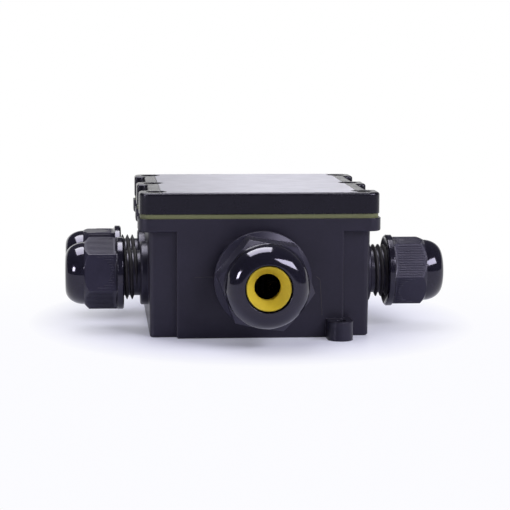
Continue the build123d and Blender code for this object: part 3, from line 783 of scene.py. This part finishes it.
class JUNCTION_BOX_OT_gland_threads(Operator):
    """Winds the thread's ridge round each of the four spigots"""
    bl_idname = "junction_box.gland_threads"
    bl_label = "Add gland threads"

    def execute(self, context):
        threads = context.scene.junction_threads
        plastic = bpy.data.materials["case_plastic"]
        for name, gland in GLANDS.items():
            size = GLAND_SIZES[gland["size"]]
            start = size["boss"] + threads.neck / MM
            end = size["spigot_end"] - THREAD_LAND + LAND_OVERLAP
            points, faces = helical_ridge(size["root"], size["crest"], THREAD_PITCH, start, end,
                                          threads.buried / MM, threads.fade_turns, threads.first_turn)
            mesh_piece(f"{name}_thread", on_gland(name, points, False), faces, plastic, "case",
                       crease=60)
        return {"FINISHED"}


class JUNCTION_BOX_OT_nut_ribs(Operator):
    """Raises fine grip ribs on the nuts' hexagon faces"""
    bl_idname = "junction_box.nut_ribs"
    bl_label = "Add grip ribs"

    def execute(self, context):
        ribs = context.scene.junction_ribs
        for name, gland in GLANDS.items():
            points, faces = rib_set(GLAND_SIZES[gland["size"]], gland["turn"], ribs)
            mesh_piece(f"{name}_nut_ribs", on_gland(name, points, True), faces,
                       bpy.data.materials[f"{name}_nut_plastic"], f"{name}_nut")
        return {"FINISHED"}


class JUNCTION_BOX_OT_screws(Operator):
    """Makes the lid screws, clamping screws and fixing screws with recesses and threads"""
    bl_idname = "junction_box.screws"
    bl_label = "Add screws"

    def execute(self, context):
        steel = drawn("screw_steel", (0.62, 0.62, 0.63), roughness=(0.22, 0.36),
                      stretch=(900.0, 900.0, 900.0), line_depth=0.000004)
        for node, screw in SCREWS.items():
            head = screw_head(**screw["head"], shank=screw["shank"]["radius"])
            stem = threaded_shank(**screw["shank"])
            points, faces = turned_copies(joined([head, stem]), screw["spots"])
            piece = mesh_piece(f"{node}_detailed", points, faces, steel, screw["body"],
                               crease=35.0)
            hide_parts(node)
        return {"FINISHED"}


class JUNCTION_BOX_OT_seams(Operator):
    """Draws the fine moulding seams on the front panel"""
    bl_idname = "junction_box.seams"
    bl_label = "Add moulding seams"

    def execute(self, context):
        wall = GLANDS["front"]["foot"][1]
        points, faces = joined([bead_path(corners, SEAM_WIDTH, SEAM_HEIGHT, wall) for corners in SEAMS])
        mesh_piece("front_panel_seams", points, faces, bpy.data.materials["case_plastic"], "case",
                   crease=60)
        return {"FINISHED"}


class JUNCTION_BOX_OT_stage(Operator):
    """Sets up floor, backdrop, lamps and camera"""
    bl_idname = "junction_box.stage"
    bl_label = "Set up the studio"

    def execute(self, context):
        studio = context.scene.junction_studio
        self.make_floor(studio)
        self.make_lamps(context, studio)
        self.make_camera(context, studio)
        context.scene.view_settings.view_transform = "Standard"
        return {"FINISHED"}

    def make_floor(self, studio):
        """Floor and backdrop in one sweep: a straight floor, a quarter circle, a straight wall."""
        depth = 1.6
        radius = 0.5
        wall_top = 0.6
        floor_rows = [-4.0, -1.0, -0.3, 0.3, 1.0]
        bend = np.linspace(0, math.pi / 2, 25)
        y = np.concatenate([floor_rows, depth + radius * np.sin(bend), [depth + radius]])
        z = np.concatenate([[0.0] * len(floor_rows), radius - radius * np.cos(bend), [wall_top]])
        x = np.linspace(-6.0, 6.0, 9)
        grid = np.stack(np.broadcast_arrays(x[None, :], y[:, None], z[:, None]), axis=-1)
        rows, columns = grid.shape[:2]
        row, column = np.meshgrid(np.arange(rows - 1), np.arange(columns - 1), indexing="ij")
        first = row * columns + column
        faces = np.stack([first, first + 1, first + columns + 1, first + columns], axis=-1).reshape(-1, 4)
        mesh = bpy.data.meshes.new("studio_sweep")
        mesh.from_pydata(grid.reshape(-1, 3).tolist(), [], faces.tolist())
        mesh.shade_smooth()
        mesh.materials.append(floor_finish(studio.floor_colour, studio.floor_glow))
        sweep = bpy.data.objects.new("studio_sweep", mesh)
        bpy.context.scene.collection.objects.link(sweep)

    def make_lamps(self, context, studio):
        """Softboxes that face the box, each with a twin just before it that shows only in reflections.

        A lamp's entry gives its name, direction from the box, width and height, power and share of
        the glint.
        """
        lamps = (
            ("overhead_softbox", (-0.17, 0.22, 0.97), (0.80, 0.75), studio.overhead_power, 1.0),
            ("right_softbox", (0.58, -0.62, 0.53), (0.85, 0.35), studio.right_power, 0.95),
            ("left_lamp", (-0.80, -0.53, 0.285), (0.24, 0.23), studio.left_power, 2.7),
        )
        for name, direction, (width, height), power, glint_share in lamps:
            towards = np.array(direction) / np.linalg.norm(direction)
            side = np.cross([0.0, 1.0, 0.0] if abs(towards[2]) > 0.9 else [0.0, 0.0, 1.0], towards)
            side /= np.linalg.norm(side)
            matrix = np.eye(4)
            matrix[:3, 0] = side
            matrix[:3, 1] = np.cross(towards, side)
            matrix[:3, 2] = towards
            glint_power = studio.glint * glint_share * width * height
            pair = (("", power, LAMP_DISTANCE, True), ("_glint", glint_power, GLINT_DISTANCE, False))
            for suffix, energy, distance, lights_surfaces in pair:
                lamp = bpy.data.lights.new(name + suffix, "AREA")
                lamp.shape = "RECTANGLE"
                lamp.size = width
                lamp.size_y = height
                lamp.energy = energy
                holder = bpy.data.objects.new(name + suffix, lamp)
                holder.visible_diffuse = lights_surfaces
                matrix[:3, 3] = np.array(LAMP_AIM) + towards * distance
                holder.matrix_world = Matrix(matrix.tolist())
                context.scene.collection.objects.link(holder)
        world = bpy.data.worlds.new("room")
        world.use_nodes = True
        background = world.node_tree.nodes["Background"]
        background.inputs["Color"].default_value = (*ROOM_COLOUR, 1)
        background.inputs["Strength"].default_value = studio.world_level
        context.scene.world = world

    def make_camera(self, context, studio):
        """Camera axes from yaw, pitch and roll: forward, right and down, then leaned by the roll."""
        yaw, pitch, roll = studio.yaw, studio.pitch, studio.roll
        forward = np.array([
            math.sin(yaw) * math.cos(pitch), math.cos(yaw) * math.cos(pitch), -math.sin(pitch)])
        right = np.array([math.cos(yaw), -math.sin(yaw), 0.0])
        down = np.cross(forward, right)
        leaned_right = right * math.cos(roll) + down * math.sin(roll)
        leaned_down = -right * math.sin(roll) + down * math.cos(roll)
        matrix = np.eye(4)
        matrix[:3, 0] = leaned_right
        matrix[:3, 1] = -leaned_down
        matrix[:3, 2] = -forward
        matrix[:3, 3] = studio.camera_place
        camera = bpy.data.cameras.new("photo_camera")
        camera.sensor_width = 36.0
        camera.sensor_fit = "HORIZONTAL"
        camera.lens = studio.focal_pixels / IMAGE_SIDE * camera.sensor_width
        holder = bpy.data.objects.new("photo_camera", camera)
        holder.matrix_world = Matrix(matrix.tolist())
        context.scene.collection.objects.link(holder)
        context.scene.camera = holder


STEPS = (
    JUNCTION_BOX_OT_case_finish,
    JUNCTION_BOX_OT_gland_finish,
    JUNCTION_BOX_OT_inner_finish,
    JUNCTION_BOX_OT_gland_threads,
    JUNCTION_BOX_OT_nut_ribs,
    JUNCTION_BOX_OT_screws,
    JUNCTION_BOX_OT_seams,
    JUNCTION_BOX_OT_stage,
)
SETTINGS = {
    "junction_finish": BoxFinishSettings,
    "junction_threads": BoxThreadSettings,
    "junction_ribs": BoxRibSettings,
    "junction_studio": BoxStudioSettings,
}


class JUNCTION_BOX_PT_panel(Panel):
    """The junction box's settings and steps"""
    bl_idname = "JUNCTION_BOX_PT_panel"
    bl_label = "Junction box"
    bl_space_type = "VIEW_3D"
    bl_region_type = "UI"
    bl_category = "Junction box"

    def draw(self, context):
        for attribute, group in SETTINGS.items():
            box = self.layout.box()
            box.label(text=group.__doc__.rstrip("."))
            for key in group.__annotations__:
                box.prop(getattr(context.scene, attribute), key)
        for step in STEPS:
            self.layout.operator(step.bl_idname)


CLASSES = (*SETTINGS.values(), *STEPS, JUNCTION_BOX_PT_panel)


def register():
    """Registers the settings, steps and panel."""
    for item in CLASSES:
        bpy.utils.register_class(item)
    for attribute, group in SETTINGS.items():
        setattr(bpy.types.Scene, attribute, PointerProperty(type=group))


def unregister():
    """Removes what register added."""
    for attribute in SETTINGS:
        delattr(bpy.types.Scene, attribute)
    for item in reversed(CLASSES):
        bpy.utils.unregister_class(item)


def main():
    """Dresses the box piece by piece and sets up the studio."""
    register()
    for step in STEPS:
        group, name = step.bl_idname.split(".")
        getattr(getattr(bpy.ops, group), name)()


if __name__ == "__main__":
    main()
